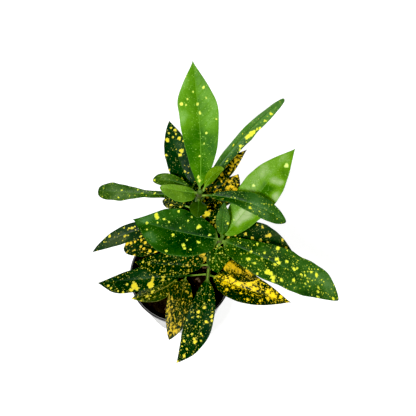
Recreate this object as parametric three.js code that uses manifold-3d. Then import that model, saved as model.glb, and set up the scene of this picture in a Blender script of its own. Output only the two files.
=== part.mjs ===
// A potted croton: two cut stems with broad spotted leaves in a small black pot.
// Millimetres, +Z up. The origin is the middle of the pot's underside, and +Y is away from the viewer.

import * as THREE from 'three';
import { mergeVertices } from 'three/addons/utils/BufferGeometryUtils.js';
import Module from 'manifold-3d';

const wasm = await Module();
wasm.setup();

// ---- driving dimensions ----

const gap = 0.3; // between pieces that touch

const pot = {
  height: 86,
  footRadius: 40.5,
  wallTopRadius: 50.2, // outside, just under the lip
  lipRadius: 52.5,
  lipHeight: 9,
  wall: 1.5,
  floor: 2.5,
  drains: 6,
  drainRadius: 4.5,
  drainCircle: 29,
  segments: 48,
};

const soil = { edgeHeight: 76.5, crownHeight: 78.5 };

// Each stem rises through these points. Its leaves leave it at the height "from".
const stems = {
  a: { route: [[6, 3, 64], [10, 17, 109], [17, 36.5, 161], [21, 34, 207]], footRadius: 3.1, topRadius: 2.3 },
  b: { route: [[27, -11, 64], [29, -5, 110], [34, 3, 136], [42, 9, 163]], footRadius: 2.3, topRadius: 1.8 },
};
const stemSides = 10;
const stemSteps = 12;

// One leaf in each row. The midrib is a curve from the stem to the tip, with its middle raised by
// "lift" and moved to the leaf's right by "bow", and "hook" moves it left near the stem and right near
// the tip. The blade is widest at "belly", as a share of its length, and "skew" moves that place
// tipward on the right half and stemward on the left. "swell" and "taper" shape the outline below and
// above it, "waist" is the least half width, "fold" lifts both halves, "roll" turns the blade about its
// midrib, "lop" makes its right half the wider one and "wave" ripples its margins.
const plainLeaf = {
  petiole: 8, lift: 0, bow: 0, hook: 0, belly: 0.5, skew: 0, swell: 1, taper: 1, fold: 12, roll: 0, lop: 0,
  waist: 0, wave: 0,
};
const leaves = {
  // crown of stem a
  a01: { from: 202, tip: [15, 125, 276], width: 36, petiole: 3, lift: 5, bow: 3, belly: 0.62,
    swell: 0.72, taper: 1.2, skew: -0.04, hook: -1 },
  a02: { from: 199, tip: [97.6, 114.8, 233], width: 14, petiole: 5, lift: 4, bow: -4.2, hook: 0.5,
    swell: 0.42, taper: 0.38, fold: 20, roll: -45, wave: 1 },
  a03: { from: 206, tip: [42, 43, 232], width: 12, petiole: 3, bow: -4, belly: 0.6, swell: 0.9, taper: 0.7 },
  a04: { from: 204, tip: [-14, 31, 221], width: 18, petiole: 2, lift: 1, bow: -1, swell: 0.35,
    taper: 0.6, lop: -0.35 },
  a05: { from: 200, tip: [-21.5, 44.5, 207], width: 14, petiole: 5, lift: 1, bow: 5, belly: 0.7,
    taper: 0.55 },
  a06: { from: 195, tip: [-73, 42.5, 191], width: 17.2, lift: 3, bow: -2.3, belly: 0.83, swell: 3.5,
    taper: 0.4, roll: 10, waist: 3.5 },
  a07: { from: 199, tip: [98, 9.8, 193], width: 20.6, petiole: 3, lift: 6, bow: -4.2, belly: 0.67,
    swell: 1.3, taper: 0.62, fold: 16, waist: 4.6, skew: 0.1 },
  a08: { from: 193, tip: [19, 8, 207], width: 16, petiole: 4, lift: 2, swell: 0.8, taper: 0.6 },
  // lower on stem a
  a09: { from: 182, tip: [-8.5, 109.5, 204], width: 26.5, petiole: 10, lift: 3, bow: -4, belly: 0.42,
    swell: 0.4, taper: 0.92, skew: 0.07 },
  a10: { from: 169, tip: [65.5, 91, 182], width: 18, lift: 3, bow: -0.5, belly: 0.45, taper: 1.1,
    lop: -0.2 },
  a11: { from: 158, tip: [58, 77, 158], width: 26, petiole: 4, lift: 3, bow: 4.0, belly: 0.45,
    swell: 0.5, taper: 0.95, lop: 0.14 },
  a12: { from: 161, tip: [-16.5, 53, 148], width: 17, lift: 3, taper: 0.85 },
  a13: { from: 149, tip: [43, 25, 138], width: 33, petiole: 3, lift: 4, bow: -3, belly: 0.42, swell: 0.4,
    lop: -0.1 },
  a14: { from: 142, tip: [-87, 12, 115], width: 19.5, petiole: 16, lift: 6, bow: 6.4, taper: 0.85 },
  a15: { from: 133, tip: [-56, 21, 110], width: 28, petiole: 14, lift: 4, bow: -6, belly: 0.6, taper: 0.4 },
  a16: { from: 131, tip: [23, 109, 133], width: 26, petiole: 14, lift: 5 },
  a17: { from: 119, tip: [-1, 92, 108], width: 24, petiole: 14, lift: 5 },
  a18: { from: 84, tip: [-10.5, -69, 83], width: 27, petiole: 14, lift: 9, bow: -2.2, belly: 0.44,
    swell: 0.6, taper: 0.8, skew: -0.1 },
  a19: { from: 80, tip: [-49, -29, 91], width: 22, petiole: 12, lift: 5, bow: -8, fold: 20, roll: 10 },
  // crown of stem b
  b01: { from: 158, tip: [109, 80, 203], width: 38, petiole: 3, lift: 4, bow: 1.2, hook: -1, belly: 0.52,
    swell: 0.55, taper: 1.1 },
  b02: { from: 159, tip: [43, 30, 192], width: 13.5, petiole: 1.5, swell: 0.42, taper: 0.85, fold: 18 },
  b03: { from: 157, tip: [-44, 30.5, 154], width: 49, petiole: 0.5, lift: 3, bow: -3, swell: 0.42,
    taper: 1.2, fold: 10, lop: -0.09 },
  b04: { from: 157, tip: [150.5, -45, 136], width: 38.5, petiole: 1, lift: 9, bow: -1.2, hook: -1.8,
    belly: 0.57, swell: 0.45, taper: 0.76, skew: -0.12, lop: 0.1, wave: 1.6 },
  b05: { from: 152, tip: [112, 5, 129], width: 35.5, petiole: 4, lift: 5, bow: -6.6, hook: -0.8,
    belly: 0.42, swell: 0.5, taper: 1.3 },
  b06: { from: 154, tip: [38.5, -19, 141], width: 23, petiole: 1, lift: 2, bow: 4, belly: 0.45,
    swell: 0.32, taper: 0.7, lop: -0.25 },
  // lower on stem b
  b07: { from: 100, tip: [111, -34.5, 96], width: 34, petiole: 4, lift: 9, bow: 4.9, belly: 0.35,
    swell: 0.55, taper: 1.15, fold: 18 },
  b08: { from: 144, tip: [76, -17, 116], width: 30, petiole: 4, lift: 3, bow: 2, belly: 0.45, swell: 0.4,
    taper: 0.9 },
  b09: { from: 115, tip: [-3, -91, 78], width: 27.8, petiole: 11, lift: 14, bow: -9, hook: -1.2,
    swell: 0.6, taper: 1.08, lop: -0.07 },
  b10: { from: 101, tip: [-83.5, -13.5, 94], width: 29.5, petiole: 12, lift: 8, bow: -2.8, belly: 0.53,
    swell: 1.7, taper: 1.15, skew: -0.18 },
  b11: { from: 118, tip: [-45, 3, 110], width: 26, petiole: 5, lift: 3, bow: -3, swell: 0.6 },
  b12: { from: 128, tip: [-7, 1, 129], width: 28, petiole: 2, lift: 5, bow: 2, swell: 0.45 },
  b13: { from: 126, tip: [83, 71, 131], width: 27, petiole: 6, lift: 4, swell: 0.6, lop: -0.1 },
  b14: { from: 112, tip: [124, 9, 106], width: 26, petiole: 14, lift: 5 },
};
const bladeSteps = 11;
const blade = { thickness: 0.9, edgeThickness: 0.6, petioleWidth: 1.6, tipWidth: 1.2, waves: 2.5 };
const acrossBlade = [-1, -0.5, 0, 0.5, 1];

// ---- colours ----

const finishes = {
  pot: { color: 0x0b0b0c, roughness: 0.3 },
  soil: { color: 0x2b1d15, roughness: 0.95 },
  stem: { color: 0x7d8a45, roughness: 0.6 },
  young: { color: 0x6ea03a, roughness: 0.35 },
  green: { color: 0x2f7a2a, roughness: 0.3 },
  dark: { color: 0x24421f, roughness: 0.3 },
  golden: { color: 0xb9992a, roughness: 0.35 },
};
const young = ['a01', 'a03', 'a04', 'b01'];
const green = ['a02', 'a05', 'a06', 'a07', 'a08', 'b02', 'b03', 'b04', 'b06'];
const golden = ['a10', 'a11', 'a18', 'b07', 'b08'];

function leafFinish(name) {
  if (young.includes(name)) return finishes.young;
  if (green.includes(name)) return finishes.green;
  return golden.includes(name) ? finishes.golden : finishes.dark;
}

// ---- solids ----

const plant = new THREE.Group();

function addMesh(name, geometry, finish) {
  const mesh = new THREE.Mesh(geometry, new THREE.MeshStandardMaterial({ ...finish, metalness: 0 }));
  mesh.name = name;
  plant.add(mesh);
}

function toSolid(geometry) {
  geometry.deleteAttribute('normal');
  geometry.deleteAttribute('uv');
  const merged = mergeVertices(geometry);
  const index = merged.index.array;
  const triangles = [];
  for (let i = 0; i < index.length; i += 3) {
    const [a, b, c] = index.subarray(i, i + 3);
    if (a !== b && b !== c && c !== a) triangles.push(a, b, c);
  }
  return new wasm.Manifold(new wasm.Mesh({
    numProp: 3,
    vertProperties: merged.attributes.position.array,
    triVerts: new Uint32Array(triangles),
  }));
}

function toGeometry(solid) {
  const mesh = solid.getMesh();
  const geometry = new THREE.BufferGeometry();
  geometry.setAttribute('position', new THREE.BufferAttribute(mesh.vertProperties, 3));
  geometry.setIndex(new THREE.BufferAttribute(mesh.triVerts, 1));
  geometry.computeVertexNormals();
  return geometry;
}

// A closed skin over rings of points, each ring running the same way round.
function skin(rings) {
  const sides = rings[0].length;
  const points = rings.flat();
  const faces = [];
  for (let k = 0; k + 1 < rings.length; k++) {
    for (let i = 0; i < sides; i++) {
      const a = k * sides + i;
      const b = k * sides + (i + 1) % sides;
      faces.push(a, b, a + sides, b, b + sides, a + sides);
    }
  }
  const last = (rings.length - 1) * sides;
  for (let i = 1; i + 1 < sides; i++) {
    faces.push(0, i + 1, i, last, last + i, last + i + 1);
  }
  const geometry = new THREE.BufferGeometry().setFromPoints(points);
  geometry.setIndex(faces);
  geometry.computeVertexNormals();
  return geometry;
}

// ---- pot ----

const wallSlope = (pot.wallTopRadius - pot.footRadius) / (pot.height - pot.lipHeight);
const innerRadius = (z) => pot.footRadius - pot.wall + wallSlope * z;

const lipFoot = pot.height - pot.lipHeight;
const potProfile = [
  [0, 0],
  [pot.footRadius - 1.2, 0],
  [pot.footRadius, 1.2],
  [pot.wallTopRadius, lipFoot],
  [pot.lipRadius - 1, lipFoot + 0.4],
  [pot.lipRadius - 0.6, pot.height - 3.4],
  [pot.lipRadius, pot.height - 2.6],
  [pot.lipRadius, pot.height - 0.9],
  [pot.lipRadius - 0.9, pot.height],
  [pot.lipRadius - 2, pot.height],
  [pot.lipRadius - 2.6, pot.height - 0.8],
  [pot.lipRadius - 2.8, lipFoot + 2],
  [innerRadius(lipFoot), lipFoot],
  [innerRadius(pot.floor), pot.floor],
  [0, pot.floor],
].map(([r, z]) => new THREE.Vector2(r, z));

let potSolid = toSolid(new THREE.LatheGeometry(potProfile, pot.segments).rotateX(Math.PI / 2));
for (let i = 0; i < pot.drains; i++) {
  const turn = (i + 0.5) * 2 * Math.PI / pot.drains;
  const drill = new THREE.CylinderGeometry(pot.drainRadius, pot.drainRadius, 3 * pot.floor, 12);
  drill.rotateX(Math.PI / 2);
  drill.translate(pot.drainCircle * Math.cos(turn), pot.drainCircle * Math.sin(turn), pot.floor / 2);
  potSolid = potSolid.subtract(toSolid(drill));
}
addMesh('pot', toGeometry(potSolid), finishes.pot);

// ---- stems ----

for (const stem of Object.values(stems)) {
  const points = stem.route.map((p) => new THREE.Vector3(...p));
  stem.curve = new THREE.CatmullRomCurve3(points, false, 'catmullrom', 0.5);
  stem.low = stem.route[0][2];
  stem.high = stem.route.at(-1)[2];
}

const stemRadius = (stem, z) =>
  THREE.MathUtils.mapLinear(z, stem.low, stem.high, stem.footRadius, stem.topRadius);

// The middle of the stem at a height, found by halving the part of the curve that holds it.
function stemCentre(stem, z) {
  let [start, end] = [0, 1];
  for (let i = 0; i < 24; i++) {
    const middle = (start + end) / 2;
    if (stem.curve.getPoint(middle).z < z) start = middle;
    else end = middle;
  }
  return stem.curve.getPoint(start);
}

function stemGeometry(stem, grow = 0) {
  const rings = [];
  const ring = (centre, radius) => {
    const points = [];
    for (let i = 0; i < stemSides; i++) {
      const turn = i * 2 * Math.PI / stemSides;
      points.push(new THREE.Vector3(radius * Math.cos(turn), radius * Math.sin(turn), 0).add(centre));
    }
    rings.push(points);
  };
  if (grow > 0) ring(stemCentre(stem, stem.low).setZ(stem.low - grow), stem.footRadius + grow);
  for (let k = 0; k <= stemSteps; k++) {
    const z = THREE.MathUtils.lerp(stem.low, stem.high, k / stemSteps);
    ring(stemCentre(stem, z), stemRadius(stem, z) + grow);
  }
  const top = stemCentre(stem, stem.high);
  ring(top.clone().setZ(stem.high + 1.2), 0.7 * stem.topRadius + grow);
  ring(top.clone().setZ(stem.high + 2), 0.3 * stem.topRadius + grow);
  return skin(rings);
}

for (const [name, stem] of Object.entries(stems)) {
  addMesh(`stem_${name}`, stemGeometry(stem), finishes.stem);
}

// ---- soil ----

const soilFoot = pot.floor + gap;
const soilProfile = [
  [0, soilFoot],
  [innerRadius(soilFoot) - gap, soilFoot],
  [innerRadius(soil.edgeHeight) - gap, soil.edgeHeight],
  [42, THREE.MathUtils.lerp(soil.edgeHeight, soil.crownHeight, 0.6)],
  [22, soil.crownHeight],
  [0, soil.crownHeight],
].map(([r, z]) => new THREE.Vector2(r, z));

let soilSolid = toSolid(new THREE.LatheGeometry(soilProfile, pot.segments).rotateX(Math.PI / 2));
for (const stem of Object.values(stems)) soilSolid = soilSolid.subtract(toSolid(stemGeometry(stem, gap)));
addMesh('soil', toGeometry(soilSolid), finishes.soil);

// ---- leaves ----

const up = new THREE.Vector3(0, 0, 1);

// The midrib leaves the stem's skin, so its start depends a little on its own slope there.
function midrib(leaf, stem) {
  const centre = stemCentre(stem, leaf.from);
  const tip = new THREE.Vector3(...leaf.tip);
  const outward = tip.clone().sub(centre).setZ(0).normalize();
  let curve;
  let start = centre;
  for (let i = 0; i < 3; i++) {
    const chord = tip.clone().sub(start);
    const right = chord.clone().cross(up).normalize();
    const above = right.clone().cross(chord).normalize();
    const pull = (share, aside) => start.clone().addScaledVector(chord, share)
      .addScaledVector(above, 4 / 3 * leaf.lift)
      .addScaledVector(right, 4 / 3 * aside);
    const near = pull(1 / 3, leaf.bow - leaf.hook);
    const far = pull(2 / 3, leaf.bow + leaf.hook);
    curve = new THREE.CubicBezierCurve3(start, near, far, tip);
    const slope = Math.abs(curve.getTangent(0).z);
    const reach = stemRadius(stem, leaf.from) + gap + 0.1 + 0.5 * blade.petioleWidth * slope;
    start = centre.clone().addScaledVector(outward, reach);
  }
  curve.v0 = start;
  return curve;
}

function halfWidth(leaf, u, side) {
  if (u <= 0) return blade.petioleWidth / 2;
  const belly = leaf.belly + leaf.skew * side;
  const outline = u < belly
    ? Math.sin(Math.PI / 2 * u / belly) ** leaf.swell
    : Math.max(0, Math.cos(Math.PI / 2 * (u - belly) / (1 - belly))) ** leaf.taper;
  const waist = leaf.waist * Math.min(1, 6 * u, 6 * (1 - u));
  const least = THREE.MathUtils.lerp(blade.petioleWidth, blade.tipWidth, u) / 2;
  return Math.max(least, waist, leaf.width / 2 * outline);
}

function leafGeometry(leaf, stem) {
  const curve = midrib(leaf, stem);
  const length = curve.getLength();
  const stations = [0];
  for (let i = 0; i <= bladeSteps; i++) {
    const u = 1 - (1 - i / bladeSteps) ** 1.3;
    stations.push((leaf.petiole + u * (length - leaf.petiole)) / length);
  }
  const { degToRad } = THREE.MathUtils;
  const [tops, bottoms] = [[], []];
  for (const t of stations) {
    const u = (t * length - leaf.petiole) / (length - leaf.petiole);
    const centre = curve.getPointAt(t);
    const ahead = curve.getTangentAt(t);
    const right = ahead.clone().cross(up).normalize().applyAxisAngle(ahead, degToRad(-leaf.roll));
    const above = right.clone().cross(ahead);
    const settle = THREE.MathUtils.smoothstep(u, 0, 0.15);
    const core = THREE.MathUtils.lerp(blade.petioleWidth, blade.thickness, settle) / 2;
    for (const x of acrossBlade) {
      const lop = u > 0 ? 1 + leaf.lop * Math.sign(x) : 1;
      const reach = Math.abs(x) * halfWidth(leaf, u, Math.sign(x)) * lop;
      const swing = Math.sin(2 * Math.PI * blade.waves * u + (x > 0 ? 0 : 1.3));
      const ripple = u > 0 ? leaf.wave * swing * Math.abs(x) ** 1.5 * Math.sin(Math.PI * u) : 0;
      const skinDepth = Math.abs(x) === 1 ? Math.min(core, blade.edgeThickness / 2) : core;
      const point = centre.clone()
        .addScaledVector(right, Math.sign(x) * reach * Math.cos(degToRad(leaf.fold)))
        .addScaledVector(above, reach * Math.sin(degToRad(leaf.fold)) + ripple);
      tops.push(point.clone().addScaledVector(above, skinDepth));
      bottoms.push(point.clone().addScaledVector(above, -skinDepth));
    }
  }
  // Both faces are split along the same diagonals, so a twisted blade keeps its thickness.
  const columns = acrossBlade.length;
  const under = tops.length;
  const last = (stations.length - 1) * columns;
  const faces = [];
  for (let k = 0; k < last; k += columns) {
    for (let i = k; i + 1 < k + columns; i++) {
      const [a, b, c, d] = [i, i + 1, i + columns, i + columns + 1];
      faces.push(a, b, c, b, d, c);
      faces.push(under + a, under + c, under + b, under + b, under + c, under + d);
    }
    const [leftNear, rightNear] = [k, k + columns - 1];
    const [leftFar, rightFar] = [leftNear + columns, rightNear + columns];
    faces.push(under + rightNear, under + rightFar, rightNear, rightNear, under + rightFar, rightFar);
    faces.push(under + leftNear, leftNear, under + leftFar, leftNear, leftFar, under + leftFar);
  }
  for (let i = 0; i + 1 < columns; i++) {
    faces.push(under + i, under + i + 1, i + 1, under + i, i + 1, i);
    const [a, b] = [last + i, last + i + 1];
    faces.push(under + a, b, under + b, under + a, a, b);
  }
  const geometry = new THREE.BufferGeometry().setFromPoints([...tops, ...bottoms]);
  geometry.setIndex(faces);
  geometry.computeVertexNormals();
  return geometry;
}

for (const [name, row] of Object.entries(leaves)) {
  const leaf = { ...plainLeaf, ...row };
  addMesh(`leaf_${name}`, leafGeometry(leaf, stems[name[0]]), leafFinish(name));
}

export default plant;
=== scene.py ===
import math
import random

import bpy
from mathutils import Euler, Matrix, Quaternion, Vector, noise
from mathutils.geometry import intersect_point_line


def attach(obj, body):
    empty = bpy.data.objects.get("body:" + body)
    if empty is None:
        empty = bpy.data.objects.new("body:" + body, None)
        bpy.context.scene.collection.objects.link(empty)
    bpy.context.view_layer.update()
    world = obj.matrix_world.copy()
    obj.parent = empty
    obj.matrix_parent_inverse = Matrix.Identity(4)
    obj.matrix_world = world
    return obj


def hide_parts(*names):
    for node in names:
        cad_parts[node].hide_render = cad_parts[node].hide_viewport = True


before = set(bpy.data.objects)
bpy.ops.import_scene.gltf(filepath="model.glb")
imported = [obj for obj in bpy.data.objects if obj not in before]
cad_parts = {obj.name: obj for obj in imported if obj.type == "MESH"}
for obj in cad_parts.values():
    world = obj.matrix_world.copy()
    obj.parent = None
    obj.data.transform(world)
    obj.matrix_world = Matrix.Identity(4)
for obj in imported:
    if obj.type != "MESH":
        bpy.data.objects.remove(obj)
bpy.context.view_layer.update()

mm = 0.001  # the scene is in metres, the sizes of the pieces are in mm

view = {
    "place": (0.02815, -0.24121, 0.76189),  # where the picture was taken from
    "tilt": 25,  # degrees from straight down
    "lens": 60,
    "sensor": 36,
    "picture": 416,  # pixels along each side
}
studio = {
    "floorSize": 18,
    "floorColour": (0.4, 0.4, 0.398, 1),
    "floorCloud": (0.42, 0.42, 0.417, 1),
    "floorGlow": 1.8,
    "aim": (0.01, 0, 0.12),  # where both lamps point
    "skyStrength": 0.55,
    "keyPlace": (-0.4, -0.85, 1.75),
    "keySize": 0.26,
    "keyPower": 45,
    "fillPlace": (0.9, 0.5, 1.3),
    "fillSize": 1.4,
    "fillPower": 5,
    "blackPoint": 0.011,  # the picture's shadows are printed dark
}


def clearChoice():
    if bpy.context.object and bpy.context.object.mode != "OBJECT":
        bpy.ops.object.mode_set(mode="OBJECT")
    bpy.ops.object.select_all(action="DESELECT")


def choose(piece):
    clearChoice()
    piece.select_set(True)
    bpy.context.view_layer.objects.active = piece


def applyModifier(piece, name):
    choose(piece)
    bpy.ops.object.modifier_apply(modifier=name)


def faceOutward(piece):
    choose(piece)
    bpy.ops.object.mode_set(mode="EDIT")
    bpy.ops.mesh.select_all(action="SELECT")
    bpy.ops.mesh.normals_make_consistent(inside=False)
    bpy.ops.object.mode_set(mode="OBJECT")


def settle(piece, name, smoothAngle=None):  # a finished piece: named, at the origin, smooth
    choose(piece)
    bpy.ops.object.transform_apply(location=True, rotation=True, scale=True)
    if smoothAngle is None:
        bpy.ops.object.shade_smooth()
    else:
        bpy.ops.object.shade_smooth_by_angle(angle=math.radians(smoothAngle))
    piece.name = piece.data.name = name
    return piece


def makeCamera():
    data = bpy.data.cameras.new("camera")
    data.lens, data.sensor_width = view["lens"], view["sensor"]
    data.clip_end = 60
    camera = bpy.data.objects.new("camera", data)
    camera.location = view["place"]
    camera.rotation_euler = (math.radians(view["tilt"]), 0, 0)
    bpy.context.collection.objects.link(camera)
    bpy.context.scene.camera = camera


def pictureRay(x, y):  # the direction in which the camera sees a pixel of the picture
    span = view["sensor"] / view["lens"] / view["picture"]
    half = view["picture"] / 2
    ray = Vector(((x - half) * span, (half - y) * span, -1))
    ray.rotate(Euler((math.radians(view["tilt"]), 0, 0)))
    return ray.normalized()


def areaLight(name, place, size, power):
    data = bpy.data.lights.new(name, "AREA")
    data.shape, data.size, data.energy = "DISK", size, power
    light = bpy.data.objects.new(name, data)
    light.location = place
    light.rotation_euler = (Vector(studio["aim"]) - Vector(place)).to_track_quat("-Z", "Y").to_euler()
    bpy.context.collection.objects.link(light)


class Wire:  # an output socket that can be used in sums
    def __init__(self, tree, socket=None):
        self.tree, self.socket = tree, socket

    def add(self, kind, settings=None, ports=None, out=0):  # a node: its settings, then values or links
        node = self.tree.nodes.new("ShaderNode" + kind)
        for key, value in (settings or {}).items():
            setattr(node, key, value)
        for key, value in (ports or {}).items():
            if isinstance(value, Wire):
                self.tree.links.new(value.socket, node.inputs[key])
            else:
                node.inputs[key].default_value = value
        if isinstance(out, tuple):
            return [Wire(self.tree, node.outputs[key]) for key in out]
        return Wire(self.tree, node.outputs[out])

    def maths(self, operation, *values):
        return self.add("Math", {"operation": operation}, dict(enumerate(values)))

    def __add__(self, other):
        return self.maths("ADD", self, other)

    def __sub__(self, other):
        return self.maths("SUBTRACT", self, other)

    def __rsub__(self, other):
        return self.maths("SUBTRACT", other, self)

    def __mul__(self, other):
        return self.maths("MULTIPLY", self, other)

    def __truediv__(self, other):
        return self.maths("DIVIDE", self, other)

    def __abs__(self):
        return self.maths("ABSOLUTE", self)

    __radd__, __rmul__ = __add__, __mul__


def rise(value, low, high):  # 0 below low, 1 above high, smooth between
    return value.add("MapRange", {"interpolation_type": "SMOOTHSTEP"},
                     {"Value": value, "From Min": low, "From Max": high})


def either(first, second):
    return first.maths("MAXIMUM", first, second)


def blend(amount, low, high):  # from one colour to another
    return amount.add("Mix", {"data_type": "RGBA"}, {0: amount, 6: low, 7: high}, out=2)


def split(place, out):
    return place.add("SeparateXYZ", {}, {0: place}, out)


def saved(start, name, out="Fac"):  # values kept with the points of the mesh
    return start.add("Attribute", {"attribute_name": name}, out=out)


def clouds(place, size, detail=2, rough=0.5, out=0):  # noise with features of about this size
    ports = {"Vector": place, "Scale": 1 / size, "Detail": detail, "Roughness": rough}
    return place.add("TexNoise", {}, ports, out)


def shift(place, x, y, z=0.0):
    return place.add("VectorMath", {"operation": "ADD"}, {0: place, 1: (x, y, z)})


def stretch(place, x, y, z=1.0):
    return place.add("VectorMath", {"operation": "MULTIPLY"}, {0: place, 1: (x, y, z)})


def warp(place, size, amount):  # a place moved about at random, so that round marks become ragged
    push = shift(clouds(place, size, 2, out=1), -0.5, -0.5, -0.5)
    ports = {0: push, 1: (amount, amount, amount), 2: place}
    return place.add("VectorMath", {"operation": "MULTIPLY_ADD"}, ports)


def newMaterial(name, **fixed):
    material = bpy.data.materials.new(name)
    material.use_nodes = True
    shader = material.node_tree.nodes["Principled BSDF"]
    for socket, value in fixed.items():
        shader.inputs[socket.replace("_", " ")].default_value = value
    return material, Wire(material.node_tree), shader


def plug(start, shader, **links):
    for socket, wire in links.items():
        start.tree.links.new(wire.socket, shader.inputs[socket.replace("_", " ")])


def bump(height, depth, strength=1.0):  # depth in metres
    return height.add("Bump", {}, {"Height": height, "Distance": depth, "Strength": strength})


def floorMaterial():
    material, start, shader = newMaterial("paleFloor", Roughness=0.6, Specular_IOR_Level=0.2)
    place = start.add("TexCoord", out="Object")
    colour = blend(clouds(place, 0.9), studio["floorColour"], studio["floorCloud"])
    plug(start, shader, Base_Color=colour, Emission_Color=colour)
    shader.inputs["Emission Strength"].default_value = studio["floorGlow"]
    return material


def makeStudio():
    makeCamera()
    clearChoice()
    bpy.ops.mesh.primitive_grid_add(x_subdivisions=6, y_subdivisions=6, size=studio["floorSize"])
    floor = settle(bpy.context.object, "floor")
    floor.data.materials.append(floorMaterial())
    world = bpy.data.worlds.new("studio")
    world.use_nodes = True
    world.node_tree.nodes["Background"].inputs["Color"].default_value = (1, 1, 1, 1)
    world.node_tree.nodes["Background"].inputs["Strength"].default_value = studio["skyStrength"]
    bpy.context.scene.world = world
    areaLight("key", studio["keyPlace"], studio["keySize"], studio["keyPower"])
    areaLight("fill", studio["fillPlace"], studio["fillSize"], studio["fillPower"])
    colours = bpy.context.scene.view_settings
    colours.view_transform = "Standard"
    colours.use_curve_mapping = True
    colours.curve_mapping.black_level = (studio["blackPoint"],) * 3
    colours.curve_mapping.update()


makeStudio()
print("studio and camera made")


def drawRings(rings, sides):  # a round piece from (centre, radius) rings, closed at both ends
    clearChoice()
    centre, radius = rings[0]
    bpy.ops.mesh.primitive_circle_add(vertices=sides, radius=radius, fill_type="NGON", location=centre)
    piece = bpy.context.object
    bpy.ops.object.mode_set(mode="EDIT")
    bpy.ops.mesh.select_all(action="SELECT")
    for (oldCentre, oldRadius), (centre, radius) in zip(rings, rings[1:]):
        bpy.ops.mesh.extrude_region_move(TRANSFORM_OT_translate={"value": centre - oldCentre})
        size = radius / oldRadius
        bpy.ops.transform.resize(value=(size, size, size), center_override=centre)
    faceOutward(piece)
    return piece


def finish(piece, node):
    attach(piece, "root")
    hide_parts(node)


pot = {
    "sides": 96,
    "height": 86,
    "footRadius": 40.5,
    "wallTopRadius": 50.2,
    "lipRadius": 52.5,
    "lipHeight": 9,
    "wall": 1.5,
    "floor": 2.5,
    "drains": 6,
    "drainRadius": 4.5,
    "drainCircle": 29,
    "drainSides": 28,
    "drillLength": 12,
    "blackFrom": 79.2,  # the dark lining turns over the lip down to here
    "black": (0.004, 0.0042, 0.0046, 1),
    "blackGrain": (0.011, 0.011, 0.011, 1),
    "dust": (0.05, 0.036, 0.024, 1),
    # grey of the two thin painted highlight lines round the top of the lip, and below, how far in from its
    # outside they run
    "paintedHighlight": (0.2, 0.2, 0.195, 1),
    "paintedHighlightInsets": (2.75, 1.4),  # how far in from the lip's outside they run
    "white": (0.32, 0.323, 0.32, 1),
    "whiteCloud": (0.34, 0.34, 0.335, 1),
    "smear": (0.2, 0.17, 0.13, 1),
}
wallSlope = (pot["wallTopRadius"] - pot["footRadius"]) / (pot["height"] - pot["lipHeight"])


def insideRadius(z):  # of the pot's wall at a height
    return pot["footRadius"] - pot["wall"] + wallSlope * z


def liningMaterial():
    material, start, shader = newMaterial("blackPlastic", Specular_IOR_Level=0.18)
    place = start.add("TexCoord", out="Object")
    east, north, height = split(place, (0, 1, 2))
    square = east * east + north * north
    reach = square.maths("SQRT", square) / mm
    onTop = rise(height / mm, pot["height"] - 1.6, pot["height"] - 0.6)
    # two thin painted highlight lines round the top of the lip, broken up by the scuffs
    insideLine, outsideLine = [abs(reach - (pot["lipRadius"] - far)) for far in pot["paintedHighlightInsets"]]
    paintedHighlightRings = either(1 - rise(insideLine, 0.05, 0.3), 1 - rise(outsideLine, 0.05, 0.35))
    grain = clouds(place, 0.0006, 3, 0.7)
    dust = rise(clouds(place, 0.009, 5, 0.7), 0.52, 0.8)
    scuffs = clouds(stretch(place, 1, 1, 0.12), 0.002, 4, 0.8)
    tone = blend(grain, pot["black"], pot["blackGrain"])
    tone = blend(dust * 0.35, tone, pot["dust"])
    tone = blend(paintedHighlightRings * onTop * (0.5 + 0.5 * scuffs), tone, pot["paintedHighlight"])
    plug(start, shader, Base_Color=tone, Roughness=0.26 + 0.2 * scuffs + 0.25 * dust,
         Normal=bump(grain + scuffs * 0.6, 0.00006))
    return material


def shellMaterial():
    material, start, shader = newMaterial("whitePlastic", Specular_IOR_Level=0.4)
    place = start.add("TexCoord", out="Object")
    height = split(place, 2)
    grain = clouds(place, 0.0007, 3, 0.7)
    smears = rise(clouds(stretch(place, 1, 1, 0.25), 0.012, 5, 0.75), 0.5, 0.85)
    low = 1 - rise(height, 0.0, 0.02)
    tone = blend(clouds(place, 0.03, 3), pot["white"], pot["whiteCloud"])
    tone = blend(smears * (0.18 + low * 0.35), tone, pot["smear"])
    plug(start, shader, Base_Color=tone, Roughness=0.3 + 0.15 * grain + 0.3 * smears,
         Normal=bump(grain, 0.00005))
    return material


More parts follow.
